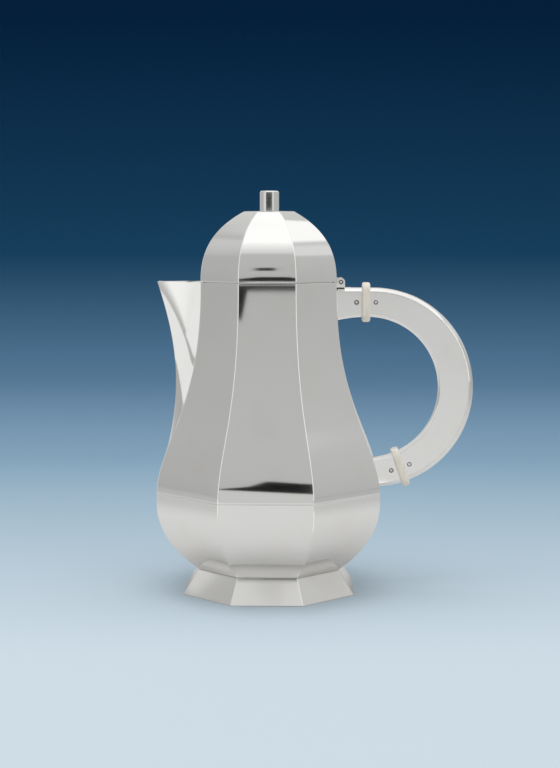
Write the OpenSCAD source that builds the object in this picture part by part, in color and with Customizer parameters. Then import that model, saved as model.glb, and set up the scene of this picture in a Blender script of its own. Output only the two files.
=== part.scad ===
// Octagonal coffee pot of raised and soldered silver sheet, with a hinged lid and an insulated D handle.
// The spout points to -X, the handle to +X, and the pot stands on the plane z = 0.

/* [Body] */
// Width of the mouth across flats
rim_w = 68.5; // [50:0.5:90]
// Height of the mouth's edge above the table
rim_z = 158.9; // [130:0.5:200]
// Straight stretch of the neck below the mouth's edge
neck_h = 1.2; // [0.6:0.2:10]
// Width across flats at the widest seam
girth_w = 112.5; // [95:0.5:140]
// Height of the widest seam
girth_z = 53; // [40:0.5:70]
// Pull of the neck's flare, which keeps the neck slim for longer
flare_pull = 64; // [30:0.2:70]
// Pull of the shoulder just above the seam
shoulder_pull = 26; // [10:0.2:35]
// Lean of the upper panels where they meet the seam, in degrees
shoulder_lean = 2; // [0:0.2:10]
// Thickness of the silver sheet
sheet = 1.0; // [0.7:0.1:1.6]

/* [Bowl and foot] */
// Width of the foot's narrow top across flats
foot_neck_w = 71.6; // [55:0.5:90]
// Height of the foot
foot_h = 12.5; // [6:0.5:20]
// Width of the foot at the table across flats
foot_w = 87; // [70:0.5:110]
// Thickness of the foot's wall and flange
foot_sheet = 1.2; // [0.8:0.1:2]
// Width of the flange that the foot turns in under the bowl
foot_flange = 9; // [5:0.5:14]
// Pull of the bowl's side below the seam
bowl_pull = 5.8; // [4:0.2:25]
// Lean of the bowl's panels where they leave the seam, in degrees
bowl_lean = -1; // [-3:0.2:8]
// Pull of the bowl's underside
underside_pull = 29.8; // [8:0.2:32]
// Rise of the bowl's underside where it leaves the foot, in degrees
underside_rise = 38.6; // [20:0.2:55]
// Thickness of the flat base plate
base_sheet = 1.2; // [0.8:0.1:2]

/* [Lid] */
// Gap between the closed lid and the mouth's edge
lid_gap = 0.3; // [0.2:0.05:0.6]
// Height of the dome above the mouth's edge
dome_h = 36; // [25:0.5:45]
// Width across flats of the dome's flat top
dome_top_w = 25.2; // [18:0.2:32]
// Straight stretch at the foot of the dome
dome_skirt = 1.0; // [0.6:0.1:3]
// Pull of the dome's side
dome_side_pull = 15.6; // [8:0.2:20]
// Pull of the dome's crown
dome_crown_pull = 17.1; // [8:0.2:20]
// Slope of the dome where it reaches the flat top, in degrees
dome_slope = 28.8; // [15:0.2:40]
// Rise of the flat top from its edge to the finial
dome_top_rise = 0.3; // [0.1:0.1:0.8]
// Depth that the lid's bezel reaches into the mouth
lid_bezel_depth = 4.5; // [3:0.5:8]
// Thickness of the lid's bezel
lid_bezel_sheet = 0.9; // [0.7:0.1:1.4]
// Clearance all round between the lid's bezel and the mouth's bezel
bezel_clear = 0.35; // [0.25:0.05:0.8]
// Depth of the stiffening bezel inside the mouth
mouth_bezel_depth = 6; // [4:0.5:10]
// Thickness of the mouth's bezel
mouth_bezel_sheet = 0.9; // [0.7:0.1:1.4]

/* [Finial] */
// Width of the finial across flats
finial_w = 9.6; // [7:0.2:14]
// Height of the finial
finial_h = 10.1; // [7:0.2:16]
// Chamfer round the finial's top
finial_chamfer = 0.5; // [0.2:0.1:1]
// Radius of the finial's stud
stud_r = 1.5; // [1:0.1:2]
// Clearance round the stud in the lid and in the nut
stud_clear = 0.05; // [0.03:0.01:0.2]
// Width of the stud's nut across flats
nut_w = 5.5; // [5:0.1:7]
// Thickness of the stud's nut
nut_t = 2.4; // [1.8:0.1:3.5]

/* [Hinge] */
// Radius of the hinge's knuckles
knuckle_r = 2.0; // [1.6:0.1:2.6]
// Length of the whole hinge
hinge_len = 14; // [10:0.5:20]
// Length of each of the two fixed knuckles
fixed_knuckle = 4; // [3:0.25:4.5]
// Gap between neighbouring knuckles
knuckle_gap = 0.3; // [0.2:0.05:0.5]
// Gap between the knuckles and the wall that they stand beside
knuckle_wall_gap = 0.3; // [0.25:0.05:0.5]
// Radius of the hinge pin
hinge_pin_r = 1.1; // [0.8:0.05:1.2]
// Running clearance round the hinge pin in the lid's knuckle
hinge_run = 0.05; // [0.03:0.01:0.1]
// Thickness of the seat under the hinge
hinge_seat = 0.5; // [0.3:0.1:0.5]

/* [Spout] */
// How far the spout's lip stands out from the mouth
lip_reach = 23.3; // [15:0.5:30]
// Height of the spout's lower end above the widest seam
spout_rise = 20; // [10:0.5:40]
// Pull of the spout's ridge below the lip
lip_pull = 32.6; // [15:0.2:36]
// Slope of the ridge at the lip, from the vertical in degrees
lip_slope = 18.1; // [8:0.2:25]
// Pull of the ridge above its lower end
heel_pull = 33.6; // [15:0.2:36]
// Slope of the ridge at its lower end, from the vertical in degrees
heel_slope = 13.1; // [8:0.2:18]
// Outward bulge of the spout's two cheeks
cheek_bulge = 0.9; // [0.2:0.1:2]
// Radius of the strainer's holes
strainer_r = 1.2; // [0.8:0.1:1.8]
// Pitch of the strainer's holes
strainer_pitch = 4.4; // [4:0.1:6]
// Rows of strainer holes
strainer_rows = 7; // [3:1:8]
// Distance of the top row below the mouth's edge
strainer_drop = 13; // [11:0.5:20]

/* [Handle] */
// Radius of the handle's outer edge
handle_r = 51.4; // [44:0.2:58]
// How far the centre of the outer edge stands out from the mouth
handle_reach = 18.75; // [12:0.25:30]
// Distance of the handle's top below the mouth's edge
handle_drop = 2.8; // [2.6:0.1:6]
// Depth of the handle between its outer edge and the finger opening
handle_depth = 15.2; // [12:0.2:20]
// How much nearer the pot the finger opening's centre is than the outer edge's
grip_in = 2.7; // [0:0.1:4]
// Thickness of the handle across its flat cheeks
handle_t = 8.6; // [7:0.1:12]
// Thickness of the handle's sheet
handle_sheet = 0.9; // [0.7:0.1:1.3]
// Crown of the handle's outer band
outer_crown = 2.0; // [0.6:0.1:2.4]
// Crown of the handle's inner band
inner_crown = 1.0; // [0.4:0.1:1.6]
// Thickness of both bands at their edges
band_edge = 0.6; // [0.4:0.1:1]
// Radius of the arch under the upper socket
arch_r = 70; // [40:1:100]

/* [Insulators] */
// How much nearer the pot the upper insulator is than the handle's centre
upper_joint_in = 3.6; // [0:0.1:6]
// Angle of the lower insulator round the handle's centre, from straight down
lower_joint_angle = 19.3; // [16:0.5:26]
// Thickness of an insulator's flange
flange_t = 4.1; // [3:0.1:5]
// Height of an insulator's flange
flange_h = 20.2; // [18:0.2:24]
// Width of an insulator's flange
flange_w = 13.8; // [12:0.2:18]
// Corner radius of an insulator's flange
flange_corner = 4.5; // [2:0.5:5.5]
// Length of each tenon beyond the flange
tenon_len = 6.4; // [5:0.2:8]
// Height of a tenon
tenon_h = 8; // [6:0.2:9]
// Clearance between a tenon and the cheeks on either side
tenon_clear = 0.1; // [0.05:0.05:0.3]
// Distance of a tenon's pin from the middle of the flange
pin_reach = 4.9; // [4.2:0.1:5.6]
// Radius of the four pins
pin_r = 1.2; // [0.8:0.1:1.4]
// Clearance round the pins
pin_clear = 0.02; // [0.01:0.01:0.05]
// Length that each pin stands out of the cheeks
pin_proud = 0.15; // [0:0.05:0.4]
// Least gap between the lower tenon and the widest seam
seam_gap = 2; // [1:0.5:6]

/* [Hidden] */
$fn = 128;
curve_steps = 16;
panel_count = 8;
past = 2;
stud_end = 1;

rim_a = rim_w / 2;
girth_a = girth_w / 2;
foot_neck_a = foot_neck_w / 2;
foot_a = foot_w / 2;
lid_foot_z = rim_z + lid_gap;
dome_top_a = dome_top_w / 2;
dome_edge_z = rim_z + dome_h - dome_top_rise;
finial_z = rim_z + dome_h;
panel_tan = tan(180 / panel_count);

seat_z = rim_z - handle_drop;
hinge_x = rim_a + knuckle_wall_gap + knuckle_r;
hinge_z = seat_z + hinge_seat + knuckle_wall_gap + knuckle_r;
moving_knuckle = hinge_len - 2 * fixed_knuckle - 2 * knuckle_gap;

// The handle stands out from the mouth, and further where a wide seam needs it to
grip_r = handle_r - handle_depth;
handle_z = seat_z - handle_r;
joint_rise = (handle_r + grip_r) / 2;
joint_reach = flange_t / 2 + tenon_len;
lower_joint_r = (handle_r + grip_r - grip_in * sin(lower_joint_angle)) / 2;
lower_reach = lower_joint_r * sin(lower_joint_angle) - joint_reach * cos(lower_joint_angle);
handle_x = max(rim_a + handle_reach, girth_a + seam_gap - lower_reach);
grip_x = handle_x - grip_in;
upper_joint_x = handle_x - upper_joint_in;
// Depth that the sockets' solid sides reach in under the bands
band_lap = band_edge / 2;

silver = [0.82, 0.82, 0.80];
ivory = [0.93, 0.90, 0.82];

// ---- curves ----

// Points of a cubic curve through its four control points, moved off to its left by off
function curve(p, off = 0) = [
    for (i = [0 : curve_steps])
        let (
            t = i / curve_steps,
            s = 1 - t,
            at = s*s*s*p[0] + 3*s*s*t*p[1] + 3*s*t*t*p[2] + t*t*t*p[3],
            run = s*s*(p[1] - p[0]) + 2*s*t*(p[2] - p[1]) + t*t*(p[3] - p[2])
        )
        at + off * [-run[1], run[0]] / norm(run)
];

// Control point at a distance pull from p, in a direction measured from straight up
function reach(p, pull, angle) = p + pull * [sin(angle), cos(angle)];

// Each outline gives half the width across flats against the height, from the bottom up
neck_foot = [rim_a, rim_z - neck_h];
girth = [girth_a, girth_z];
bowl_foot = [foot_neck_a, foot_h];
upper_curve = [girth, reach(girth, shoulder_pull, -shoulder_lean), reach(neck_foot, flare_pull, 180), neck_foot];
bowl_curve = [
    bowl_foot, reach(bowl_foot, underside_pull, 90 - underside_rise),
    reach(girth, bowl_pull, 180 - bowl_lean), girth
];
dome_foot = [rim_a, rim_z + dome_skirt];
dome_edge = [dome_top_a, dome_edge_z];
dome_curve = [
    dome_foot, reach(dome_foot, dome_side_pull, 0),
    reach(dome_edge, dome_crown_pull, 90 + dome_slope), dome_edge
];

function raised(p, rise) = [p[0], p[1] + rise];
function upper_line(off, over) = let (c = curve(upper_curve, off))
    concat([raised(c[0], -over)], c, [[rim_a - off, rim_z + over]]);
function bowl_line(off, over) = let (c = curve(bowl_curve, off))
    concat([raised(c[0], -over)], c, [raised(c[curve_steps], over)]);
function dome_line(off, drop) = concat(
    [[rim_a - off, lid_foot_z - drop]], curve(dome_curve, off), [[0, finial_z - off]]
);
body_line = concat(curve(bowl_curve), [for (i = [1 : curve_steps]) curve(upper_curve)[i]], [[rim_a, rim_z]]);

// Half the pot's width at any height from the bowl's foot to the mouth
function body_a(z) = lookup(z, [for (p = body_line) [p[1], p[0]]]);

// ---- general shapes ----

// Area between an outline and its mirror image
module both_sides(line) {
    polygon(concat(line, [for (i = [len(line) - 1 : -1 : 0]) [-line[i][0], line[i][1]]]));
}

// Upright eight-sided solid whose panels all follow one outline
module panelled(line) {
    reach_out = 2 * max([for (p = line) p[0]]) * (1 + panel_tan);
    intersection_for (i = [0 : panel_count / 2 - 1])
        rotate([0, 0, i * 360 / panel_count])
            rotate([90, 0, 0])
                linear_extrude(reach_out, center = true)
                    both_sides(line);
}

// Upright eight-sided prism
module octagon(half_w, z_low, z_high) {
    panelled([[half_w, z_low], [half_w, z_high]]);
}

// Slab across the handle's plane from an outline drawn in that plane
module slab(t, y = 0) {
    translate([0, y, 0])
        rotate([90, 0, 0])
            linear_extrude(t, center = true)
                children();
}

// Bar across the handle's plane
module cross_bar(r, len) {
    rotate([90, 0, 0])
        cylinder(r = r, h = len, center = true);
}

// Everything between the two outer faces that carry the spout and the handle
module between_side_panels() {
    slab(girth_w)
        both_sides(concat(body_line, [[rim_a, rim_z + past]]));
}

// ---- body ----

module upper_body() {
    color(silver)
        difference() {
            panelled(upper_line(0, 0));
            panelled(upper_line(sheet, past));
            strainer_holes();
        }
}

module strainer_holes() {
    for (row = [0 : strainer_rows - 1])
        for (col = [-1 : 1])
            translate([
                -body_a(rim_z - strainer_drop - row * strainer_pitch),
                col * strainer_pitch,
                rim_z - strainer_drop - row * strainer_pitch
            ])
                rotate([0, 90, 0])
                    cylinder(r = strainer_r, h = 4 * sheet, center = true);
}

module lower_bowl() {
    color(silver)
        difference() {
            panelled(bowl_line(0, 0));
            panelled(bowl_line(sheet, past));
        }
}

module body_base() {
    color(silver)
        intersection() {
            panelled(bowl_line(sheet, past));
            octagon(girth_a, foot_h, foot_h + base_sheet);
        }
}

module foot() {
    inner_a = foot_neck_a - foot_flange;
    color(silver)
        difference() {
            panelled([[foot_a, 0], [foot_neck_a, foot_h]]);
            panelled([
                [foot_a - foot_sheet, 0],
                [foot_neck_a - foot_sheet, foot_h - foot_sheet]
            ]);
            octagon(inner_a, foot_h - past, foot_h + past);
        }
}

module mouth_bezel() {
    color(silver)
        difference() {
            octagon(rim_a - sheet, rim_z - mouth_bezel_depth, rim_z);
            octagon(rim_a - sheet - mouth_bezel_sheet, 0, rim_z + past);
            below_neck();
        }
}

// Space outside the upper body's inner face
module below_neck() {
    difference() {
        octagon(girth_a, rim_z - mouth_bezel_depth - past, rim_z - past / 4);
        panelled(upper_line(sheet, past));
    }
}

// ---- spout ----

spout_tip = [rim_a + lip_reach, rim_z];
spout_heel = [body_a(girth_z + spout_rise) + sheet, girth_z + spout_rise];
ridge_line = curve([
    spout_heel, reach(spout_heel, heel_pull, -heel_slope),
    reach(spout_tip, lip_pull, 180 + lip_slope), spout_tip
]);

// One level of the spout, thinned by wall. The cheeks run on a little way into the body
function spout_level(ridge, z, wall) = let (
        a = body_a(min(z, rim_z)),
        half_w = a * panel_tan,
        side = atan2(half_w, ridge - a),
        tip = [ridge - wall / sin(side), 0],
        base = [a, half_w - wall / cos(side)],
        bulge = cheek_bulge * min(1, (ridge - a) / (lip_reach / 2)),
        middle = (tip + base) / 2 + bulge * [sin(side), cos(side)],
        root = base + (base - middle) / 5
    ) [
        for (p = [root, middle]) [-p[0], -p[1], z],
        [-tip[0], 0, z],
        for (p = [middle, root]) [-p[0], p[1], z]
    ];

function depth_at(p) = p[0] - body_a(p[1]);

// Closed solid through a stack of levels
module stack(levels) {
    n = len(levels[0]);
    top = len(levels) - 1;
    points = [for (level = levels) each level];
    sides = [
        for (i = [0 : top - 1])
            for (j = [0 : n - 1])
                let (a = i * n + j, b = i * n + (j + 1) % n)
                    each [[a, b, a + n], [b, b + n, a + n]]
    ];
    bottom_face = [[for (j = [n - 1 : -1 : 0]) j]];
    top_face = [[for (j = [0 : n - 1]) top * n + j]];
    polyhedron(points, concat(sides, bottom_face, top_face));
}

module spout() {
    outer = [for (p = ridge_line) if (depth_at(p) > 0.2) spout_level(p[0], p[1], 0)];
    hollow = [for (p = ridge_line) if (depth_at(p) > 3 * sheet) spout_level(p[0], p[1], sheet)];
    lifted = spout_level(spout_tip[0], rim_z + past, sheet);
    color(silver)
        difference() {
            stack(outer);
            stack(concat(hollow, [lifted]));
            between_side_panels();
        }
}

// ---- handle and sockets ----

// Section of a band: flat against the cheeks' edges and crowned outwards from face
module crown_section(face, crown, edge, outward = 1) {
    crown_r = (handle_t * handle_t / 4 + crown * crown) / (2 * crown);
    translate([face, 0])
        mirror([outward > 0 ? 0 : 1, 0])
            intersection() {
                translate([-crown - edge, -handle_t / 2])
                    square([crown + edge, handle_t]);
                translate([-crown_r, 0])
                    circle(r = crown_r);
            }
}

// Band bent round a centre in the handle's plane
module bent_band(x, z, r, crown, outward) {
    translate([x, 0, z])
        rotate([90, 0, 0])
            rotate_extrude()
                crown_section(r, crown, band_edge, outward);
}

// Ring between the handle's outer edge and the finger opening, taken in at each
module ring_area(outer_in, inner_in) {
    difference() {
        translate([handle_x, handle_z])
            circle(r = handle_r - outer_in);
        translate([grip_x, handle_z])
            circle(r = grip_r + inner_in);
    }
}

// Point in the handle's plane at a distance along and out from the lower insulator's middle
function at_lower(along, out) =
    [handle_x, handle_z]
    + along * [cos(lower_joint_angle), sin(lower_joint_angle)]
    + (lower_joint_r + out) * [sin(lower_joint_angle), -cos(lower_joint_angle)];

far_out = 2 * handle_r;

// Part of the plane that the handle takes up between its two insulators
module handle_zone() {
    face_x = upper_joint_x + flange_t / 2;
    polygon([
        [face_x, handle_z],
        [face_x, handle_z + far_out],
        [handle_x + far_out, handle_z + far_out],
        [handle_x + far_out, handle_z - far_out],
        at_lower(flange_t / 2, far_out),
        at_lower(flange_t / 2, -lower_joint_r)
    ]);
}

// Part of the plane between the body and the lower insulator
module lower_socket_zone() {
    polygon([
        at_lower(-flange_t / 2, -lower_joint_r),
        at_lower(-flange_t / 2, far_out),
        [0, handle_z - far_out],
        [0, handle_z]
    ]);
}

module cheek(y) {
    color(silver)
        difference() {
            slab(handle_sheet, y)
                intersection() {
                    ring_area(outer_crown + band_edge, inner_crown + band_edge);
                    handle_zone();
                }
            upper_joint()
                tenon_bores();
            lower_joint()
                tenon_bores();
        }
}

module handle_near_cheek() {
    cheek(-(handle_t - handle_sheet) / 2);
}

module handle_far_cheek() {
    cheek((handle_t - handle_sheet) / 2);
}

module handle_outer_band() {
    color(silver)
        intersection() {
            bent_band(handle_x, handle_z, handle_r, outer_crown, 1);
            slab(handle_t)
                handle_zone();
        }
}

module handle_inner_band() {
    color(silver)
        intersection() {
            bent_band(grip_x, handle_z, grip_r, inner_crown, -1);
            slab(handle_t)
                handle_zone();
        }
}

module lower_socket() {
    color(silver)
        difference() {
            intersection() {
                union() {
                    slab(handle_t)
                        ring_area(outer_crown + band_lap, inner_crown + band_lap);
                    bent_band(handle_x, handle_z, handle_r, outer_crown, 1);
                    bent_band(grip_x, handle_z, grip_r, inner_crown, -1);
                }
                slab(handle_t)
                    lower_socket_zone();
            }
            slab(handle_t - 2 * handle_sheet)
                ring_area(outer_crown + band_edge, inner_crown + band_edge);
            between_side_panels();
            lower_joint()
                tenon_bores();
        }
}

arch_z = handle_z + grip_r - arch_r;

// Upper socket's outline, taken in at its flat top and at its arched underside
module upper_socket_area(top_in, under_in) {
    right_x = upper_joint_x - flange_t / 2;
    difference() {
        translate([0, handle_z])
            square([right_x, handle_r - top_in]);
        translate([grip_x, arch_z])
            circle(r = arch_r + under_in);
    }
}

module upper_socket() {
    right_x = upper_joint_x - flange_t / 2;
    color(silver)
        difference() {
            union() {
                slab(handle_t)
                    upper_socket_area(outer_crown + band_lap, inner_crown + band_lap);
                translate([0, 0, seat_z])
                    rotate([90, 0, 90])
                        linear_extrude(right_x)
                            rotate(90)
                                crown_section(0, outer_crown, band_edge);
                intersection() {
                    bent_band(grip_x, arch_z, arch_r, inner_crown, -1);
                    slab(handle_t)
                        upper_socket_area(outer_crown, 0);
                }
            }
            slab(handle_t - 2 * handle_sheet)
                translate([past, 0])
                    upper_socket_area(outer_crown + band_edge, inner_crown + band_edge);
            between_side_panels();
            upper_joint()
                tenon_bores();
        }
}

// ---- insulators and pins ----

module upper_joint() {
    translate([upper_joint_x, 0, handle_z + joint_rise])
        children();
}

module lower_joint() {
    middle = at_lower(0, 0);
    translate([middle[0], 0, middle[1]])
        rotate([0, -lower_joint_angle, 0])
            children();
}

module tenon_bores() {
    for (side = [-1, 1])
        translate([side * pin_reach, 0, 0])
            cross_bar(pin_r + pin_clear, 2 * handle_t);
}

module rounded_area(w, h, r) {
    square([w, h - 2 * r], center = true);
    square([w - 2 * r, h], center = true);
    for (i = [-1, 1])
        for (j = [-1, 1])
            translate([i * (w / 2 - r), j * (h / 2 - r)])
                circle(r = r);
}

module insulator() {
    tenon_w = handle_t - 2 * handle_sheet - 2 * tenon_clear;
    color(ivory)
        difference() {
            union() {
                rotate([90, 0, 90])
                    linear_extrude(flange_t, center = true)
                        rounded_area(flange_w, flange_h, flange_corner);
                cube([2 * joint_reach, tenon_w, tenon_h], center = true);
            }
            tenon_bores();
        }
}

module upper_insulator() {
    upper_joint()
        insulator();
}

module lower_insulator() {
    lower_joint()
        insulator();
}

module joint_pin(side) {
    color(silver)
        translate([side * pin_reach, 0, 0])
            cross_bar(pin_r, handle_t + 2 * pin_proud);
}

module upper_socket_pin() {
    upper_joint()
        joint_pin(-1);
}

module upper_handle_pin() {
    upper_joint()
        joint_pin(1);
}

module lower_socket_pin() {
    lower_joint()
        joint_pin(-1);
}

module lower_handle_pin() {
    lower_joint()
        joint_pin(1);
}

// ---- hinge ----

module body_hinge_leaf() {
    reach_x = knuckle_wall_gap + 2 * knuckle_r;
    color(silver)
        difference() {
            union() {
                translate([rim_a, -hinge_len / 2, seat_z])
                    cube([reach_x, hinge_len, hinge_seat]);
                for (side = [-1, 1])
                    translate([0, side * (hinge_len - fixed_knuckle) / 2, 0]) {
                        translate([rim_a, -fixed_knuckle / 2, seat_z])
                            cube([reach_x, fixed_knuckle, handle_drop]);
                        translate([hinge_x, 0, hinge_z])
                            cross_bar(knuckle_r, fixed_knuckle);
                    }
            }
            translate([hinge_x, 0, hinge_z])
                cross_bar(hinge_pin_r + pin_clear, hinge_len + past);
            between_side_panels();
        }
}

module hinge_pin() {
    color(silver)
        translate([hinge_x, 0, hinge_z])
            cross_bar(hinge_pin_r, hinge_len);
}

module lid_hinge_leaf() {
    color(silver)
        difference() {
            union() {
                translate([hinge_x, 0, hinge_z])
                    cross_bar(knuckle_r, moving_knuckle);
                translate([rim_a, -moving_knuckle / 2, lid_foot_z])
                    cube([hinge_x - rim_a, moving_knuckle, knuckle_r - lid_gap]);
            }
            translate([hinge_x, 0, hinge_z])
                cross_bar(hinge_pin_r + hinge_run, hinge_len);
            slab(rim_w)
                both_sides(dome_line(0, lid_gap));
        }
}

// ---- lid ----

module lid_dome() {
    color(silver)
        difference() {
            panelled(dome_line(0, 0));
            panelled(dome_line(sheet, past));
            cylinder(r = stud_r + stud_clear, h = finial_z + past);
        }
}

module lid_bezel() {
    drop_a = rim_a - sheet - mouth_bezel_sheet - bezel_clear;
    shelf = 1.6;
    color(silver)
        difference() {
            union() {
                octagon(drop_a, rim_z - lid_bezel_depth, lid_foot_z + shelf);
                intersection() {
                    panelled(dome_line(sheet, 0));
                    octagon(rim_a, lid_foot_z, lid_foot_z + shelf);
                }
            }
            octagon(drop_a - lid_bezel_sheet, 0, finial_z);
        }
}

module finial() {
    half_w = finial_w / 2;
    top_z = finial_z + finial_h;
    color(silver) {
        panelled([
            [half_w, finial_z],
            [half_w, top_z - finial_chamfer],
            [half_w - finial_chamfer, top_z]
        ]);
        translate([0, 0, finial_z - sheet - nut_t - stud_end])
            cylinder(r = stud_r, h = sheet + nut_t + 2 * stud_end);
    }
}

module finial_nut() {
    corner_r = nut_w / 2 / cos(30);
    color(silver)
        translate([0, 0, finial_z - sheet - nut_t - dome_top_rise * corner_r / dome_top_a])
            difference() {
                cylinder(r = corner_r, h = nut_t, $fn = 6);
                translate([0, 0, -1])
                    cylinder(r = stud_r + stud_clear, h = nut_t + 2);
            }
}

upper_body();
lower_bowl();
body_base();
foot();
mouth_bezel();
spout();
upper_socket();
lower_socket();
body_hinge_leaf();
hinge_pin();
lid_dome();
lid_bezel();
lid_hinge_leaf();
finial();
finial_nut();
upper_insulator();
lower_insulator();
handle_near_cheek();
handle_far_cheek();
handle_outer_band();
handle_inner_band();
upper_socket_pin();
upper_handle_pin();
lower_socket_pin();
lower_handle_pin();
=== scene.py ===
import math
import bmesh
import bpy
from mathutils import Matrix, Vector


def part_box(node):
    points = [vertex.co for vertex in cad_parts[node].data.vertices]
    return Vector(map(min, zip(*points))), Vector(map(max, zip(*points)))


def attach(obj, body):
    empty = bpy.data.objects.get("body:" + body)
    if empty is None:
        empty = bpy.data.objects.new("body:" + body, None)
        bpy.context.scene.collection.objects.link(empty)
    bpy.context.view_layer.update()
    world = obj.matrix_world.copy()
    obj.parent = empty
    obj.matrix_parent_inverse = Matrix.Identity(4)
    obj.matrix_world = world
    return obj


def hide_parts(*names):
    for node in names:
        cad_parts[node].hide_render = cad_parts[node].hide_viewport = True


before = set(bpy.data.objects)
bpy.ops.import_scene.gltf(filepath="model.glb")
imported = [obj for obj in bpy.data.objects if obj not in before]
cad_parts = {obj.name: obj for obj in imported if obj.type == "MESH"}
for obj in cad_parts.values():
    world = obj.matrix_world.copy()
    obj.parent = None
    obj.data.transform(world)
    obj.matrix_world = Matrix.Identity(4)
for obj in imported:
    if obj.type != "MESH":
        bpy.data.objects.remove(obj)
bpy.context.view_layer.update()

# ---- The view ----
# A long lens a little above the lid's hinge looks slightly down on the pot from its side,
# so that the spout stands out to the left and the handle to the right.

mm = 0.001
lens_tilt = math.radians(5.44)
lens_turn = math.radians(1.52)
view_scene = bpy.context.scene
view_scene.view_settings.view_transform = "Standard"
camera_data = bpy.data.cameras.new("studio camera")
camera_data.sensor_width = 36
camera_data.lens = 73.5
camera = bpy.data.objects.new("studio camera", camera_data)
camera.location = (26.7 * mm, -803.6 * mm, 182.8 * mm)
camera.rotation_euler = (math.pi / 2 - lens_tilt, 0, lens_turn)
view_scene.collection.objects.link(camera)
view_scene.camera = camera

# ---- The table and the backdrop ----
# One sheet of pale paper lies under the pot and sweeps up behind it without a corner. The lens
# sees it shade away to dark blue. The silver sees painted reflection light on it instead: white,
# brightest at the front left and high up behind.

sweep_half = 2.6
sweep_front = -1.6
sweep_back = 1.1
sweep_bend = 0.7
sweep_top = 2.2
sweep = bmesh.new()
first = sweep.verts.new((-sweep_half, sweep_front, 0))
second = sweep.verts.new((sweep_half, sweep_front, 0))
edge = [sweep.edges.new((first, second))]
run = bmesh.ops.extrude_edge_only(sweep, edges=edge)["geom"]
bmesh.ops.translate(
    sweep, verts=[v for v in run if isinstance(v, bmesh.types.BMVert)],
    vec=(0, sweep_back - sweep_front, 0),
)
edge = [e for e in run if isinstance(e, bmesh.types.BMEdge) and all(v in run for v in e.verts)]
bend = bmesh.ops.spin(
    sweep, geom=edge + list({v for e in edge for v in e.verts}),
    cent=(0, sweep_back, sweep_bend), axis=(1, 0, 0), angle=math.pi / 2, steps=24,
)["geom_last"]
edge = [e for e in bend if isinstance(e, bmesh.types.BMEdge)]
run = bmesh.ops.extrude_edge_only(sweep, edges=edge)["geom"]
bmesh.ops.translate(
    sweep, verts=[v for v in run if isinstance(v, bmesh.types.BMVert)],
    vec=(0, 0, sweep_top - sweep_bend),
)
bmesh.ops.recalc_face_normals(sweep, faces=sweep.faces)
for face in sweep.faces:
    face.smooth = True
sweep_mesh = bpy.data.meshes.new("paper sweep")
sweep.to_mesh(sweep_mesh)
sweep.free()
paper_sweep = bpy.data.objects.new("paper_sweep", sweep_mesh)
view_scene.collection.objects.link(paper_sweep)


def feed(tree, socket, value):
    """Joins another socket to this one, or gives this one a plain value."""
    if isinstance(value, bpy.types.NodeSocket):
        tree.links.new(value, socket)
    else:
        socket.default_value = value


def reckon(tree, operation, first, second=0.0):
    """The given operation on two numbers, each a socket or a plain value."""
    node = tree.nodes.new("ShaderNodeMath")
    node.operation = operation
    feed(tree, node.inputs[0], first)
    feed(tree, node.inputs[1], second)
    return node.outputs[0]


def share_of(tree, value, start, end):
    """How far a value has come from start to end, from 0 to 1."""
    node = tree.nodes.new("ShaderNodeMapRange")
    node.inputs["From Min"].default_value = start
    node.inputs["From Max"].default_value = end
    tree.links.new(value, node.inputs["Value"])
    return node.outputs[0]


def blend(tree, share, first, second, kind="RGBA"):
    """The first colour or number where share is 0, and the second where it is 1."""
    node = tree.nodes.new("ShaderNodeMix")
    node.data_type = kind
    for name, value in (("Factor", share), ("A", first), ("B", second)):
        feed(tree, node.inputs[name], value)
    return node.outputs["Result"]


def shaded(tree, share, stops):
    """Colours along a share from 0 to 1, from (place, tone or colour) pairs in rising order."""
    node = tree.nodes.new("ShaderNodeValToRGB")
    tree.links.new(share, node.inputs["Fac"])
    elements = node.color_ramp.elements
    for i, (place, colour) in enumerate(stops):
        if 0 < i < len(stops) - 1:
            stop = elements.new(place)
        else:
            stop = elements[0 if i == 0 else -1]
            stop.position = place
        stop.color = (*colour, 1) if isinstance(colour, tuple) else (colour, colour, colour, 1)
    return node.outputs["Color"]


paper = bpy.data.materials.new("pale paper")
paper.use_nodes = True
paper_tree = paper.node_tree
paper_shader = paper_tree.nodes["Principled BSDF"]
paper_shader.inputs["Roughness"].default_value = 0.9
paper_shader.inputs["Specular IOR Level"].default_value = 0.0
paper_place = paper_tree.nodes.new("ShaderNodeSeparateXYZ")
paper_tree.links.new(
    paper_tree.nodes.new("ShaderNodeTexCoord").outputs["Object"], paper_place.inputs[0],
)
paper_x, paper_y, paper_z = paper_place.outputs
paper_run = share_of(paper_tree, reckon(paper_tree, "ADD", paper_y, paper_z), -0.5, 2.5)
paper_blue = shaded(paper_tree, paper_run, (
    (0.12, (0.62, 0.72, 0.80)), (0.24, (0.38, 0.51, 0.62)), (0.32, (0.24, 0.38, 0.51)),
    (0.44, (0.16, 0.28, 0.42)), (0.60, (0.08, 0.18, 0.30)), (0.73, (0.01, 0.057, 0.125)),
    (0.94, (0.002, 0.018, 0.055)),
))
# Painted reflection light: the tones the silver sees on the paper, set by place, brighter at the
# front left and up the wall.
paper_white = shaded(paper_tree, share_of(paper_tree, paper_x, -1.0, 1.0), (
    (0.20, 0.48), (0.33, 0.56), (0.42, 0.68), (0.60, 0.66), (0.68, 0.58), (0.80, 0.48),
))
front_left = reckon(
    paper_tree, "MULTIPLY", share_of(paper_tree, paper_x, -0.10, -0.28),
    share_of(paper_tree, paper_y, -0.04, -0.16),
)
paper_floor = blend(paper_tree, front_left, paper_white, (0.93, 0.93, 0.92, 1))
paper_rise = share_of(paper_tree, paper_z, 0.2, 0.6)
paper_wall = blend(paper_tree, paper_rise, paper_floor, (0.88, 0.88, 0.87, 1))
# The lens sees the blue; every other ray sees the painted reflection light.
seen_by_lens = paper_tree.nodes.new("ShaderNodeLightPath").outputs["Is Camera Ray"]
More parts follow.
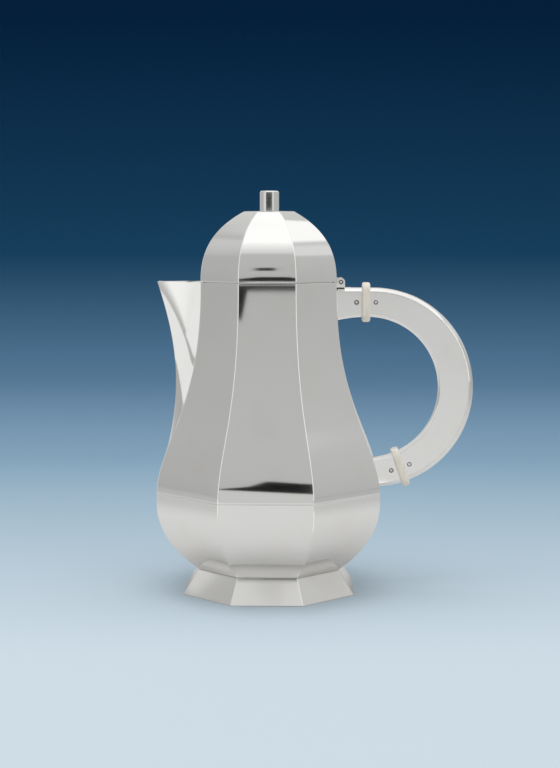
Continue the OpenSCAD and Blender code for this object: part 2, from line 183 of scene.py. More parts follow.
paper_tree.links.new(
    blend(paper_tree, seen_by_lens, paper_wall, paper_blue), paper_shader.inputs["Base Color"],
)
paper_sweep.data.materials.append(paper)

# ---- The light ----
# A room of white cloth lights the silver and is brightest overhead. White strips hang at the front
# left and the front right, and a low sheet behind to the left. The lens sees the room pale blue.

world = bpy.data.worlds.new("white cloth room")
view_scene.world = world
world.use_nodes = True
room = world.node_tree
room_shader = room.nodes["Background"]
room_axes = room.nodes.new("ShaderNodeSeparateXYZ")
room.links.new(room.nodes.new("ShaderNodeTexCoord").outputs["Generated"], room_axes.inputs[0])
room_x, room_y, room_z = room_axes.outputs
in_degrees = 180 / math.pi
height = reckon(room, "MULTIPLY", reckon(room, "ARCSINE", room_z), in_degrees)
room_front = reckon(room, "MULTIPLY", room_y, -1.0)
around = reckon(room, "MULTIPLY", reckon(room, "ARCTAN2", room_x, room_front), in_degrees)


def window(value, low, high, soft):
    """1 where value lies between low and high, falling to 0 over soft at both ends."""
    sides = []
    for start, end, before, after in ((low - soft, low, 0, 1), (high, high + soft, 1, 0)):
        side = room.nodes.new("ShaderNodeMapRange")
        side.interpolation_type = "SMOOTHSTEP"
        room.links.new(value, side.inputs["Value"])
        for name, number in (
            ("From Min", start), ("From Max", end), ("To Min", before), ("To Max", after),
        ):
            side.inputs[name].default_value = number
        sides.append(side.outputs[0])
    return reckon(room, "MULTIPLY", *sides)


def cloth(stops):
    """How bright the cloth hangs at each height in degrees, from (height, tone) pairs."""
    low, high = stops[0][0], stops[-1][0]
    places = [((level - low) / (high - low), tone) for level, tone in stops]
    return shaded(room, share_of(room, height, low, high), places)


front_cloth = cloth((
    (-10, 0.60), (-1.9, 0.60), (-1.6, 0.45), (22, 0.475), (36, 0.485), (39, 0.64), (46, 0.76),
    (54, 0.90), (60, 1.04), (90, 1.04),
))
left_cloth = cloth((
    (-10, 0.48), (-2.2, 0.44), (-1.9, 0.40), (8, 0.425), (20, 0.43), (27, 0.53), (36, 0.58),
    (39, 0.47), (44, 0.66), (60, 0.90), (90, 1.04),
))
right_cloth = cloth((
    (-10, 0.50), (-2.2, 0.47), (-1.9, 0.45), (9, 0.475), (22, 0.50), (24.5, 0.69), (33, 0.69),
    (37, 0.55), (40, 1.0), (46, 1.0), (60, 0.9), (90, 1.04),
))
tone = blend(room, window(around, -150, -60, 25), front_cloth, left_cloth, "FLOAT")
tone = blend(room, window(around, 60, 150, 25), tone, right_cloth, "FLOAT")
low_sheet = ((-14, 22, 2), (-183, -102, 1.5), 0.80)
left_strip = ((-8, 72, 4), (-90, -28, 2), 0.82)
right_strip = ((-8, 72, 4), (26, 66, 2), 1.0)
for levels, turns, hung_tone in (low_sheet, left_strip, right_strip):
    hung_there = reckon(room, "MULTIPLY", window(height, *levels), window(around, *turns))
    tone = blend(room, hung_there, tone, hung_tone, "FLOAT")
seen_directly = room.nodes.new("ShaderNodeLightPath").outputs["Is Camera Ray"]
room.links.new(blend(room, seen_directly, tone, 1.0, "FLOAT"), room_shader.inputs["Strength"])
room.links.new(
    blend(room, seen_directly, (1.0, 1.0, 0.992, 1), (0.60, 0.70, 0.77, 1)),
    room_shader.inputs["Color"],
)


def hang_card(name, brightness, shapes):
    """Painted reflection close to the pot, seen only in the silver and lighting nothing: a glowing
    card or a black cloth; corners in millimetres.
    """
    card = bmesh.new()
    for corners in shapes:
        card.faces.new([card.verts.new(Vector(corner) * mm) for corner in corners])
    card_mesh = bpy.data.meshes.new(name)
    card.to_mesh(card_mesh)
    card.free()
    hung = bpy.data.objects.new(name, card_mesh)
    view_scene.collection.objects.link(hung)
    stuff = bpy.data.materials.new(name)
    stuff.use_nodes = True
    stuff_shader = stuff.node_tree.nodes["Principled BSDF"]
    stuff_shader.inputs["Base Color"].default_value = (0, 0, 0, 1)
    stuff_shader.inputs["Roughness"].default_value = 1.0
    stuff_shader.inputs["Specular IOR Level"].default_value = 0.0
    stuff_shader.inputs["Emission Color"].default_value = (1, 1, 0.992, 1)
    stuff_shader.inputs["Emission Strength"].default_value = brightness
    card_mesh.materials.append(stuff)
    hung.visible_camera = False
    hung.visible_diffuse = False
    hung.visible_shadow = False


# Painted dark reflections: black shapes seen only in the silver, on the belly, neck, lid and
# finial, and one behind.
belly_flag = (
    (-33, -200, 88), (-33, -200, 90), (-15, -200, 98), (-5, -200, 115), (24, -200, 106),
    (24, -200, 74),
)
neck_flag = ((-20, -100, 154), (16, -100, 154), (16, -100, 157), (-20, -100, 157))
neck_side_flag = (
    (-20, -100, 146), (-16, -100, 146), (-14, -100, 151), (-12, -100, 157), (-20, -100, 157),
)
lid_flag = (
    (-20, -100, 159), (16, -100, 159), (15, -100, 163), (9, -100, 166), (-7, -100, 166),
    (-19, -100, 162),
)
finial_flag = ((-13, -200, 198), (-1, -200, 198), (-1, -200, 212), (-13, -200, 212))
back_flag = ((50, 400, 100), (150, 400, 100), (150, 400, 330), (50, 400, 330))
# Painted highlights: glowing shapes seen only in the silver, on the belly, the spout's cheek and
# the bowl's edge below the seam.
belly_card = ((-37, -200, 40), (28, -200, 40), (28, -200, 72), (-37, -200, 88))
spout_card = (
    (-115, -7, 40), (-115, 60, 40), (-115, 60, 230), (-115, 20, 230), (-115, 4, 165),
    (-115, -6, 115),
)
edge_card = ((46, -102, 1), (68, -82, 1), (68, -82, 43), (46, -102, 43))
hang_card(
    "painted_dark_reflections", 0.008,
    (belly_flag, neck_flag, lid_flag, neck_side_flag, back_flag, finial_flag),
)
hang_card("belly_card", 0.57, (belly_card,))
hang_card("spout_card", 0.80, (spout_card,))
hang_card("edge_card", 1.0, (edge_card,))

# A wide lamp overhead whitens the table and throws the soft shadow under the pot.
lamp = bpy.data.lights.new("overhead lamp", "AREA")
lamp.size = 1.4
lamp.energy = 9.2
overhead_lamp = bpy.data.objects.new("overhead_lamp", lamp)
overhead_lamp.location = (-0.25, -0.15, 2.0)
overhead_lamp.visible_glossy = False
view_scene.collection.objects.link(overhead_lamp)

# ---- The bowl ----
# The lower half of the pot is raised from one disc of sterling sheet into eight panels that
# turn in to the foot. Its edge is filed flat and soldered to the upper body.

foot_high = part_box("foot")[1]
bowl_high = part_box("lower_bowl")[1]
mouth_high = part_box("upper_body")[1]
sheet = 1.0 * mm
filed_round = 0.3 * mm
seam_a = mouth_high.y
seam_z = bowl_high.z
foot_top_a = 35.8 * mm
panels = 8
half_panel = math.pi / panels


def reach(start, pull, angle):
    """A control point at a distance pull from start, at an angle from straight up."""
    turn = math.radians(angle)
    return start + pull * mm * Vector((math.sin(turn), math.cos(turn)))


def sweep_line(controls, steps=48, inward=0.0):
    """Points of a cubic curve (half width, height), moved inward from the silver's outer face."""
    p0, p1, p2, p3 = controls
    line = []
    for i in range(steps + 1):
        t = i / steps
        s = 1 - t
        point = s**3 * p0 + 3 * s * s * t * p1 + 3 * s * t * t * p2 + t**3 * p3
        run = s * s * (p1 - p0) + 2 * s * t * (p2 - p1) + t * t * (p3 - p2)
        line.append(point + inward * Vector((-run.y, run.x)).normalized())
    return line


def panelled(outline, closed=True):
    """Eight flat-sided panels from one outline of (half width across flats, height)."""
    shell = bmesh.new()
    across = 1 / math.cos(half_panel)
    corner = Matrix.Rotation(half_panel, 3, "Z")
    points = [shell.verts.new(corner @ Vector((p[0] * across, 0, p[1]))) for p in outline]
    pairs = list(zip(points, points[1:])) + ([(points[-1], points[0])] if closed else [])
    lines = [shell.edges.new(pair) for pair in pairs]
    bmesh.ops.spin(
        shell, geom=points + lines, cent=(0, 0, 0), axis=(0, 0, 1),
        angle=2 * math.pi, steps=panels, use_merge=True,
    )
    bmesh.ops.remove_doubles(shell, verts=shell.verts, dist=0.002 * mm)
    bmesh.ops.recalc_face_normals(shell, faces=shell.faces)
    return shell


def corner_lines(shell, least=20, most=180, where=lambda middle: True):
    """Edges that fold by more than least degrees, at the places that where allows."""
    chosen = []
    for line in shell.edges:
        if len(line.link_faces) != 2:
            continue
        fold = math.degrees(line.calc_face_angle())
        if least < fold < most and where((line.verts[0].co + line.verts[1].co) / 2):
            chosen.append(line)
    return chosen


def soften(shell, lines, radius, steps=3):
    """Rounds the chosen edges, as a file and the polishing wheel leave them."""
    bmesh.ops.bevel(
        shell, geom=lines, offset=radius, offset_type="OFFSET", segments=steps, profile=0.5,
        affect="EDGES", clamp_overlap=True, material=-1,
    )


def set_down(shell, name, finish, body, nodes, crease=30):
    """Makes the finished piece, gives it its finish and fixes it to its CAD body."""
    bmesh.ops.recalc_face_normals(shell, faces=shell.faces)
    for face in shell.faces:
        face.smooth = True
    for line in shell.edges:
        folded = len(line.link_faces) == 2 and math.degrees(line.calc_face_angle()) > crease
        line.smooth = not folded
    mesh = bpy.data.meshes.new(name)
    shell.to_mesh(mesh)
    shell.free()
    piece = bpy.data.objects.new(name, mesh)
    view_scene.collection.objects.link(piece)
    mesh.materials.append(finish)
    even = piece.modifiers.new("even shading", "WEIGHTED_NORMAL")
    even.keep_sharp = True
    even.weight = 80
    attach(piece, body)
    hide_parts(*nodes)
    return piece


# The polish is shared by all the silver: a soft bloom from the wheel, fine straight strokes of
# the cloth, and the slow waves that a hammer leaves in the sheet.
def hand_polish_group():
    group = bpy.data.node_groups.new("hand polish", "ShaderNodeTree")
    face = group.interface
    for name, kind, value in (
        ("Gloss", "NodeSocketFloat", 0.08), ("Bloom", "NodeSocketFloat", 0.05),
        ("Strokes", "NodeSocketFloat", 0.3), ("Waves", "NodeSocketFloat", 0.3),
        ("Clean", "NodeSocketColor", (0.9, 0.9, 0.88, 1)),
        ("Oxide", "NodeSocketColor", (0.7, 0.66, 0.6, 1)),
        ("Oxide Share", "NodeSocketFloat", 0.1),
    ):
        face.new_socket(name, in_out="INPUT", socket_type=kind).default_value = value
    for name, kind in (
        ("Colour", "NodeSocketColor"), ("Roughness", "NodeSocketFloat"),
        ("Height", "NodeSocketFloat"),
    ):
        face.new_socket(name, in_out="OUTPUT", socket_type=kind)
    nodes, links = group.nodes, group.links
    taken = nodes.new("NodeGroupInput").outputs
    given = nodes.new("NodeGroupOutput").inputs
    place = nodes.new("ShaderNodeTexCoord").outputs["Object"]

    def noise(scale, detail, stretch=None):
        made = nodes.new("ShaderNodeTexNoise")
        made.inputs["Scale"].default_value = scale
        made.inputs["Detail"].default_value = detail
        source = place
        if stretch:
            turned = nodes.new("ShaderNodeMapping")
            turned.inputs["Scale"].default_value = stretch
            links.new(place, turned.inputs["Vector"])
            source = turned.outputs[0]
        links.new(source, made.inputs["Vector"])
        return made.outputs["Fac"]

    bloom = noise(22, 4)
    strokes = noise(260, 3, (1, 1, 7))
    waves = noise(38, 1.5)
    stain = share_of(group, noise(46, 6), 0.52, 0.74)
    added_bloom = reckon(group, "MULTIPLY", bloom, taken["Bloom"])
    links.new(reckon(group, "ADD", taken["Gloss"], added_bloom), given["Roughness"])
    stroke_height = reckon(group, "MULTIPLY", strokes, taken["Strokes"])
    wave_height = reckon(group, "MULTIPLY", waves, taken["Waves"])
    links.new(reckon(group, "ADD", stroke_height, wave_height), given["Height"])
    stain_share = reckon(group, "MULTIPLY", stain, taken["Oxide Share"])
    links.new(blend(group, stain_share, taken["Clean"], taken["Oxide"]), given["Colour"])
    return group


hand_polish = hand_polish_group()


def silver_finish(name, gloss, bloom, strokes, waves, clean, oxide, share):
    """A silver of its own polish: the shared effects with this piece's values."""
    finish = bpy.data.materials.new(name)
    finish.use_nodes = True
    nodes, links = finish.node_tree.nodes, finish.node_tree.links
    shader = nodes["Principled BSDF"]
    shader.inputs["Metallic"].default_value = 1.0
    polish = nodes.new("ShaderNodeGroup")
    polish.node_tree = hand_polish
    for socket, value in (
        ("Gloss", gloss), ("Bloom", bloom), ("Strokes", strokes), ("Waves", waves),
        ("Clean", (*clean, 1)), ("Oxide", (*oxide, 1)), ("Oxide Share", share),
    ):
        polish.inputs[socket].default_value = value
    relief = nodes.new("ShaderNodeBump")
    relief.inputs["Distance"].default_value = 0.01 * mm
    links.new(polish.outputs["Colour"], shader.inputs["Base Color"])
    links.new(polish.outputs["Roughness"], shader.inputs["Roughness"])
    links.new(polish.outputs["Height"], relief.inputs["Height"])
    links.new(relief.outputs["Normal"], shader.inputs["Normal"])
    return finish


polished_silver = silver_finish(
    "polished silver", gloss=0.055, bloom=0.05, strokes=0.12, waves=0.9,
    clean=(0.955, 0.952, 0.94), oxide=(0.88, 0.85, 0.79), share=0.25,
)

bowl_foot = Vector((foot_top_a, foot_high.z))
bowl_seam = Vector((seam_a, seam_z))
foot_pull, foot_angle = 29.8, 51.4
seam_pull, seam_angle = 5.8, 181
bowl_side = [
    bowl_foot, reach(bowl_foot, foot_pull, foot_angle),
    reach(bowl_seam, seam_pull, seam_angle), bowl_seam,
]
bowl = panelled(sweep_line(bowl_side) + list(reversed(sweep_line(bowl_side, inward=sheet))))
soften(
    bowl,
    corner_lines(bowl, 20, 100, lambda p: Vector((p.x, p.y)).length > foot_top_a * 1.01),
    filed_round,
)
set_down(bowl, "bowl", polished_silver, "pot", ["lower_bowl"])

# ---- The foot ----
# A low eight-sided skirt of thicker sheet is mitred at its corners, soldered under the bowl by
# the flange that it turns in, and filed flat where it stands on the table.

foot_a = foot_high.y
foot_sheet = 1.2 * mm
foot_flange = 9 * mm
foot_round = 0.4 * mm
skirt_inner_a = 34 * mm
foot_line = [
    (foot_a, 0), (foot_top_a, foot_high.z), (foot_top_a - foot_flange, foot_high.z),
    (foot_top_a - foot_flange, foot_high.z - foot_sheet),
    (foot_top_a - foot_sheet, foot_high.z - foot_sheet), (foot_a - foot_sheet, 0),
]
foot = panelled(foot_line)
soften(
    foot,
    corner_lines(foot, 20, 175, lambda p: Vector((p.x, p.y)).length > skirt_inner_a),
    foot_round,
)
# The foot's silver is painted darker all over than the rest, painted shade for the dim foot by the
# table; its coarser strokes and heavier oxide are wear.
foot_silver = silver_finish(
    "worn silver with painted shade", gloss=0.11, bloom=0.10, strokes=0.4, waves=0.9,
    clean=(0.76, 0.755, 0.74), oxide=(0.66, 0.63, 0.58), share=0.4,
)
set_down(foot, "foot_skirt", foot_silver, "pot", ["foot"])

# ---- The upper body ----
# The upper half is raised from sheet into eight panels that sweep in from the seam to a straight
# neck. The panel behind the spout is pierced in rows to strain the coffee.

rim_a = 34.25 * mm
rim_z = mouth_high.z
neck_h = 1.2 * mm
shoulder_pull, shoulder_angle = 26, -2
neck_pull = 64
neck_foot = Vector((rim_a, rim_z - neck_h))
body_side = [
    bowl_seam, reach(bowl_seam, shoulder_pull, shoulder_angle),
    reach(neck_foot, neck_pull, 180), neck_foot,
]
outer_side = sweep_line(body_side, 72) + [Vector((rim_a, rim_z))]
inner_side = sweep_line(body_side, 72, sheet) + [Vector((rim_a - sheet, rim_z))]
upper_body = panelled(outer_side + inner_side[::-1])
soften(
    upper_body,
    corner_lines(upper_body, 20, 100, lambda p: Vector((p.x, p.y)).length > rim_a - 0.1 * mm),
    filed_round,
)


def width_at(height):
    """Half the pot's width across flats at a height above the seam."""
    for low, high in zip(outer_side, outer_side[1:]):
        if low.y <= height <= high.y:
            return low.x + (high.x - low.x) * (height - low.y) / (high.y - low.y)
    return rim_a


def pierced(shell, drills):
    """The shell with every drill's hole cut through it."""
    pair = []
    for name, made in (("uncut shell", shell), ("drills", drills)):
        mesh = bpy.data.meshes.new(name)
        made.to_mesh(mesh)
        made.free()
        pair.append(bpy.data.objects.new(name, mesh))
        view_scene.collection.objects.link(pair[-1])
    cut = pair[0].modifiers.new("holes", "BOOLEAN")
    cut.operation = "DIFFERENCE"
    cut.solver = "EXACT"
    cut.object = pair[1]
    bpy.context.view_layer.update()
    done = bpy.data.meshes.new_from_object(
        pair[0].evaluated_get(bpy.context.evaluated_depsgraph_get())
    )
    shell = bmesh.new()
    shell.from_mesh(done)
    for thing in pair:
        mesh = thing.data
        bpy.data.objects.remove(thing)
        bpy.data.meshes.remove(mesh)
    bpy.data.meshes.remove(done)
    return shell


strainer_r = 1.2 * mm
strainer_pitch = 4.4 * mm
strainer_drop = 13 * mm
strainer_rows = 7
drills = bmesh.new()
for row in range(strainer_rows):
    for column in (-1, 0, 1):
        drill = bmesh.ops.create_cone(
            drills, cap_ends=True, segments=32, radius1=strainer_r, radius2=strainer_r,
            depth=4 * sheet,
        )["verts"]
        bmesh.ops.rotate(
            drills, verts=drill, cent=(0, 0, 0), matrix=Matrix.Rotation(math.pi / 2, 3, "Y"),
        )
        hole_z = rim_z - strainer_drop - row * strainer_pitch
        bmesh.ops.translate(
            drills, verts=drill, vec=(-width_at(hole_z), column * strainer_pitch, hole_z),
        )
set_down(
    pierced(upper_body, drills), "upper_body_shell", polished_silver, "pot",
    ["upper_body"],
)

# ---- The spout ----
# Two cheeks of sheet are folded to a ridge and soldered to the corners of the spout's panel.
# They bulge slightly, and the open lip is level with the mouth.

spout_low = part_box("spout")[0]
lip = Vector((-spout_low.x, rim_z))
heel_rise = 20 * mm
heel_z = seam_z + heel_rise
heel = Vector((width_at(heel_z) + sheet, heel_z))
heel_pull, heel_angle = 33.6, -13.1
lip_pull, lip_angle = 32.6, 198.1
ridge = [heel, reach(heel, heel_pull, heel_angle), reach(lip, lip_pull, lip_angle), lip]
cheek_sheet = 0.9 * mm
cheek_bulge = 0.9 * mm
full_depth = 11.65 * mm
spout = bmesh.new()
ridge_points = [p for p in sweep_line(ridge, 64) if p.x - width_at(p.y) > 0.2 * mm]


def chain(points):
    """A line of edges through the points."""
    verts = [spout.verts.new(p) for p in points]
    return [spout.edges.new(pair) for pair in zip(verts, verts[1:])]


for side in (-1, 1):
    fold = chain([Vector((-p.x, 0, p.y)) for p in ridge_points])
    root = chain([
        Vector((-width_at(p.y), side * width_at(p.y) * math.tan(half_panel), p.y))
        for p in ridge_points
    ])
    made = bmesh.ops.bridge_loops(spout, edges=fold + root)
    rungs = [line for line in made["edges"] if len(line.link_faces) > 0]
    bmesh.ops.subdivide_edges(spout, edges=rungs, cuts=9, use_grid_fill=True)
for vert in spout.verts:
    base_a = width_at(vert.co.z)
    root = Vector((-base_a, math.copysign(base_a * math.tan(half_panel), vert.co.y), vert.co.z))
    nose_x = min((abs(p.y - vert.co.z), -p.x) for p in ridge_points)[1]
    nose = Vector((nose_x, 0, vert.co.z))
    span = nose - root
    if span.length < 0.3 * mm or abs(vert.co.y) < 0.001 * mm:
        continue
    share = (vert.co - root).dot(span) / span.length_squared
    outward = Vector((-abs(span.y), math.copysign(abs(span.x), vert.co.y), 0)).normalized()
    depth = min(1, (-nose_x - base_a) / full_depth)
    vert.co += outward * cheek_bulge * depth * 4 * share * (1 - share)
bmesh.ops.remove_doubles(spout, verts=spout.verts, dist=0.005 * mm)
bmesh.ops.recalc_face_normals(spout, faces=spout.faces)
if sum(face.normal.x * face.calc_area() for face in spout.faces) > 0:
    bmesh.ops.reverse_faces(spout, faces=spout.faces)
bmesh.ops.solidify(spout, geom=spout.faces, thickness=cheek_sheet)
set_down(spout, "spout_cheeks", polished_silver, "pot", ["spout"], crease=50)

# ---- The inside ----
# The base plate, and the two bezels that stiffen the mouth and centre the lid, are left with the
# softer white finish of the pickling bath.

inner_silver = silver_finish(
    "pickled silver", gloss=0.24, bloom=0.10, strokes=0.5, waves=0.8,
    clean=(0.93, 0.92, 0.89), oxide=(0.72, 0.66, 0.56), share=0.45,
)


def refinish(name, finish):
    """Gives a CAD node its finish and leaves its shape alone."""
    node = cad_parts[name]
    node.data.materials.clear()
    node.data.materials.append(finish)


for name in ("body_base", "mouth_bezel", "lid_bezel"):
    refinish(name, inner_silver)

# ---- The lid ----
# The dome is raised from one disc into eight panels round a small flat top, and hangs on the
# hinge by the handle.

lid_low, lid_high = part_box("lid_dome")
flat_top_a = 12.6 * mm
flat_top_rise = 0.3 * mm
dome_foot = Vector((rim_a, rim_z + 1.0 * mm))
dome_edge = Vector((flat_top_a, lid_high.z - flat_top_rise))
dome_foot_pull = 15.6
dome_edge_pull, dome_edge_angle = 17.1, 118.8
dome_side = [
    dome_foot, reach(dome_foot, dome_foot_pull, 0),
    reach(dome_edge, dome_edge_pull, dome_edge_angle), dome_edge,
]
dome_out = [Vector((rim_a, lid_low.z))] + sweep_line(dome_side, 56) + [Vector((0, lid_high.z))]
dome_in = (
    [Vector((rim_a - sheet, lid_low.z))] + sweep_line(dome_side, 56, sheet)
    + [Vector((0, lid_high.z - sheet))]
)
dome = panelled(dome_in[::-1] + dome_out, closed=False)
dome_half = dome_out[1:-1]


def on_dome(place):
    """Whether a place lies on the dome's outer face, away from its flat top."""
    across = max(
        place.x * math.cos(2 * i * half_panel) + place.y * math.sin(2 * i * half_panel)
        for i in range(panels)
    )
    near = min(dome_half, key=lambda p: (p - Vector((across, place.z))).length)
    return across > dome_edge.x and (near - Vector((across, place.z))).length < sheet * 0.8


soften(dome, corner_lines(dome, 12, 100, on_dome), filed_round)
set_down(dome, "lid_dome_shell", polished_silver, "lid", ["lid_dome"])

# ---- The finial ----
# A short eight-sided bar with a chamfered top is drawn down on the lid by a stud and a nut.

finial_low, finial_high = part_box("finial")
finial_a = finial_high.y
chamfer = 0.5 * mm
finial_round = 0.35 * mm
stud_r = 1.5 * mm
stud_lap = 1 * mm
finial_line = [
    (0, lid_high.z), (finial_a, lid_high.z), (finial_a, finial_high.z - chamfer),
    (finial_a - chamfer, finial_high.z), (0, finial_high.z),
]
finial = panelled(finial_line, closed=False)
soften(
    finial, corner_lines(finial, 15, 100, lambda p: p.z > lid_high.z + 0.2 * mm), finial_round,
)
stud = bmesh.ops.create_cone(
    finial, cap_ends=True, segments=32, radius1=stud_r, radius2=stud_r,
    depth=lid_high.z - finial_low.z + stud_lap,
)["verts"]
bmesh.ops.translate(
    finial, verts=stud, vec=(0, 0, (lid_high.z + finial_low.z + stud_lap) / 2),
)
set_down(finial, "finial_bar", polished_silver, "lid", ["finial"])

fastener_silver = silver_finish(
    "hard silver", gloss=0.10, bloom=0.08, strokes=0.3, waves=0.4,
    clean=(0.90, 0.885, 0.85), oxide=(0.45, 0.41, 0.36), share=0.6,
)
refinish("finial_nut", fastener_silver)

# ---- The hinge ----
# Two knuckles stand on the upper socket's seat and one is soldered to the lid. A hard silver pin
# runs through all three and is filed flush at its ends.


def softened_copy(name, radius, steps=2, least=30):
    """A clean copy of a CAD node with its edges rounded off."""
    copy = bmesh.new()
    copy.from_mesh(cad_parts[name].data)
    bmesh.ops.remove_doubles(copy, verts=copy.verts, dist=0.004 * mm)
    bmesh.ops.dissolve_limit(
        copy, angle_limit=math.radians(0.5), verts=copy.verts, edges=copy.edges,
    )
    soften(copy, corner_lines(copy, least), radius, steps)
    return copy


set_down(
    softened_copy("body_hinge_leaf", 0.15 * mm), "body_hinge_knuckles", polished_silver, "pot",
    ["body_hinge_leaf"],
)
set_down(
    softened_copy("lid_hinge_leaf", 0.15 * mm), "lid_hinge_knuckle", polished_silver, "lid",
    ["lid_hinge_leaf"],
)

old_polish = silver_finish(
    "old polish", gloss=0.38, bloom=0.15, strokes=0.2, waves=0.2,
    clean=(0.05, 0.045, 0.04), oxide=(0.02, 0.018, 0.016), share=0.5,
)


def ringed_rod(node, radius, round_off, ring):
    """A rod across the handle's plane with a line of old polish let in round both ends."""
    dish_margin, dish_depth = 0.3 * mm, 0.03 * mm
    low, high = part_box(node)
    rod = bmesh.new()
    bmesh.ops.create_cone(
        rod, cap_ends=True, segments=48, radius1=radius, radius2=radius, depth=high.y - low.y,
    )
    bmesh.ops.rotate(
        rod, verts=rod.verts, cent=(0, 0, 0), matrix=Matrix.Rotation(math.pi / 2, 3, "X"),
    )
    bmesh.ops.translate(rod, verts=rod.verts, vec=(low + high) / 2)
    soften(rod, corner_lines(rod, 60), round_off)
    ends = [face for face in rod.faces if len(face.verts) > 8]
    for face in bmesh.ops.inset_individual(rod, faces=ends, thickness=ring)["faces"]:
        face.material_index = 1
    bmesh.ops.inset_individual(rod, faces=ends, thickness=dish_margin, depth=-dish_depth)
    piece = set_down(
        rod, node + "_rod", fastener_silver, "pot", [node],
    )
    piece.data.materials.append(old_polish)


ringed_rod("hinge_pin", 1.1 * mm, 0.05 * mm, 0.4 * mm)

# ---- The sockets ----
# Two hollow stubs are soldered to the body to hold the insulators: a straight one under the
# hinge, with an arched underside, and a curved one above the seam.

for node in ("upper_socket", "lower_socket"):
    set_down(
        softened_copy(node, filed_round, 3, 25), node + "_stub", polished_silver, "pot",
        [node],
    )

# ---- The handle ----
# Two flat cheeks are sawn from sheet, and a crowned band is bent round their outer edge and
# another round the finger opening. The soldered corners are filed to a fine round.

outer_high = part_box("handle_outer_band")[1]
handle_r = 51.4 * mm
handle_depth = 15.2 * mm
grip_in = 2.7 * mm
handle_centre = Vector((outer_high.x - handle_r, 0, outer_high.z - handle_r))
grip_centre = handle_centre - Vector((grip_in, 0, 0))
grip_r = handle_r - handle_depth
half_t = outer_high.y
band_edge = 0.6 * mm
crown_steps = 12
joint_angle = math.radians(19.3)
flange_t = 4.1 * mm
upper_low, upper_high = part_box("upper_insulator")
lower_low, lower_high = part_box("lower_insulator")
upper_joint = (upper_low + upper_high) / 2
lower_joint = (lower_low + lower_high) / 2
along = Vector((math.cos(joint_angle), 0, math.sin(joint_angle)))


def bent_band(centre, radius, crown, outward):
    """A crowned strip bent right round a centre, then cut at both insulators."""
    band = bmesh.new()
    bow = (half_t**2 + crown**2) / (2 * crown)
    spread = math.asin(half_t / bow)
    section = []
    for i in range(crown_steps + 1):
        turn = spread * (2 * i / crown_steps - 1)
        rise = bow * math.cos(turn) - bow
        section.append((radius + outward * rise, bow * math.sin(turn)))
    back = radius - outward * (crown + band_edge)
    section += [(back, half_t), (back, -half_t)]
    points = [band.verts.new(centre + Vector((r, y, 0))) for r, y in section]
    lines = [band.edges.new(pair) for pair in zip(points, points[1:] + points[:1])]
    bmesh.ops.spin(
        band, geom=points + lines, cent=centre, axis=(0, 1, 0), angle=2 * math.pi, steps=180,
        use_merge=True,
    )
    bmesh.ops.remove_doubles(band, verts=band.verts, dist=0.002 * mm)
    bmesh.ops.recalc_face_normals(band, faces=band.faces)
    corner_y = half_t - 0.01 * mm
    soften(
        band, [
            line for line in corner_lines(band, 20)
            if all(abs(v.co.y) > corner_y for v in line.verts)
            and abs((line.verts[0].co - centre).length - radius) < crown * 1.6
        ], filed_round,
    )
    for joint, facing in ((upper_joint, Vector((1, 0, 0))), (lower_joint, along)):
        bmesh.ops.bisect_plane(
            band, geom=list(band.verts) + list(band.edges) + list(band.faces),
            plane_co=joint + facing * flange_t / 2, plane_no=-facing,
        )
    gone = []
    for face in band.faces:
        middle = face.calc_center_median()
        left_of_upper = middle.x < upper_joint.x + flange_t / 2
        left_of_lower = (middle - lower_joint).dot(along) < flange_t / 2
        if (middle.z > centre.z and left_of_upper) or (middle.z <= centre.z and left_of_lower):
            gone.append(face)
    bmesh.ops.delete(band, geom=gone, context="FACES")
    bmesh.ops.holes_fill(band, edges=[e for e in band.edges if e.is_boundary], sides=0)
    return band


set_down(
    bent_band(handle_centre, handle_r, 2.0 * mm, 1), "outer_band", polished_silver, "pot",
    ["handle_outer_band"], crease=40,
)
set_down(
    bent_band(grip_centre, grip_r, 1.0 * mm, -1), "inner_band", polished_silver, "pot",
    ["handle_inner_band"], crease=40,
)
for name in ("handle_near_cheek", "handle_far_cheek"):
    refinish(name, polished_silver)

# ---- The insulators ----
# Two turned and filed plates of ivory-coloured material keep the heat out of the handle. Each
# has a tenon on both faces that the cheeks close on.

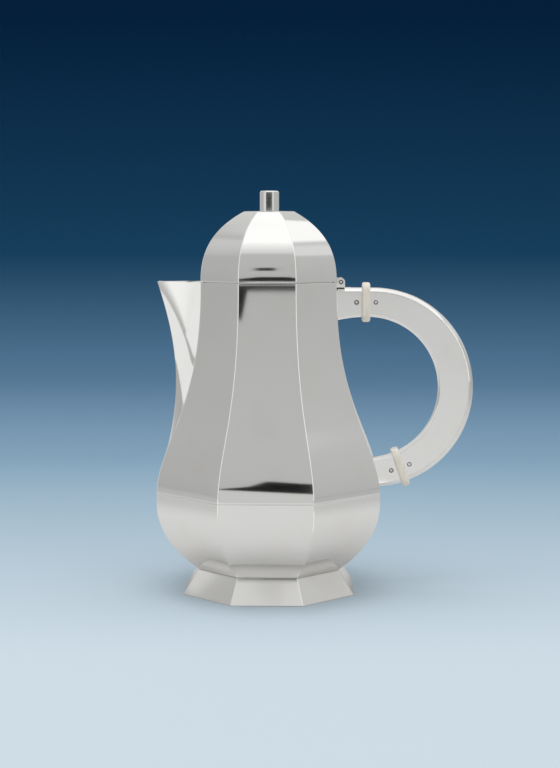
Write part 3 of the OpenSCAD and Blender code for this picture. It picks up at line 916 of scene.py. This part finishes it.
ivory = bpy.data.materials.new("ivory insulator")
ivory.use_nodes = True
ivory_tree = ivory.node_tree
ivory_nodes, ivory_links = ivory_tree.nodes, ivory_tree.links
ivory_shader = ivory_nodes["Principled BSDF"]
ivory_shader.inputs["Roughness"].default_value = 0.32
ivory_shader.inputs["IOR"].default_value = 1.54
ivory_shader.inputs["Subsurface Weight"].default_value = 0.15
ivory_shader.inputs["Subsurface Scale"].default_value = 1.5 * mm
ivory_place = ivory_nodes.new("ShaderNodeTexCoord")
ivory_turn = ivory_nodes.new("ShaderNodeMapping")
ivory_turn.inputs["Scale"].default_value = (1, 1, 0.22)
ivory_grain = ivory_nodes.new("ShaderNodeTexNoise")
ivory_grain.inputs["Scale"].default_value = 420
ivory_grain.inputs["Detail"].default_value = 5
ivory_tone = shaded(ivory_tree, ivory_grain.outputs["Fac"], (
    (0.35, (0.80, 0.76, 0.67)), (0.65, (0.90, 0.87, 0.79)),
))
ivory_relief = ivory_nodes.new("ShaderNodeBump")
ivory_relief.inputs["Strength"].default_value = 0.3
ivory_relief.inputs["Distance"].default_value = 0.02 * mm
ivory_links.new(ivory_place.outputs["Object"], ivory_turn.inputs["Vector"])
ivory_links.new(ivory_turn.outputs[0], ivory_grain.inputs["Vector"])
ivory_links.new(ivory_tone, ivory_shader.inputs["Base Color"])
ivory_links.new(ivory_grain.outputs["Fac"], ivory_relief.inputs["Height"])
ivory_links.new(ivory_relief.outputs["Normal"], ivory_shader.inputs["Normal"])


def insulator(node, middle, lean):
    """A round-cornered plate with a tenon on both faces, leaned with the handle."""
    flange = (flange_t, 13.8 * mm, 20.2 * mm)
    tenon = (16.9 * mm, 6.6 * mm, 8 * mm)
    corner_r, edge_r = 4.5 * mm, 1.1 * mm
    plate = bmesh.new()
    block = bmesh.ops.create_cube(plate, size=1)["verts"]
    bmesh.ops.scale(plate, vec=flange, verts=block)
    upright = [
        line for line in plate.edges
        if abs(line.verts[0].co.x - line.verts[1].co.x) > flange[0] / 2
    ]
    soften(plate, upright, corner_r, 10)
    soften(plate, corner_lines(plate, 60), edge_r, 5)
    block = bmesh.ops.create_cube(plate, size=1)["verts"]
    bmesh.ops.scale(plate, vec=tenon, verts=block)
    bmesh.ops.rotate(
        plate, verts=plate.verts, cent=(0, 0, 0), matrix=Matrix.Rotation(-lean, 3, "Y"),
    )
    bmesh.ops.translate(plate, verts=plate.verts, vec=middle)
    set_down(plate, node + "_plate", ivory, "pot", [node], crease=40)


insulator("upper_insulator", upper_joint, 0)
insulator("lower_insulator", lower_joint, joint_angle)

# ---- The pins ----
# Four pins run through the cheeks and the tenons. Their ends are rounded off, and a fine dark
# line of old polish is left round each.

for name in ("upper_socket_pin", "upper_handle_pin", "lower_socket_pin", "lower_handle_pin"):
    ringed_rod(name, 1.2 * mm, 0.1 * mm, 0.36 * mm)
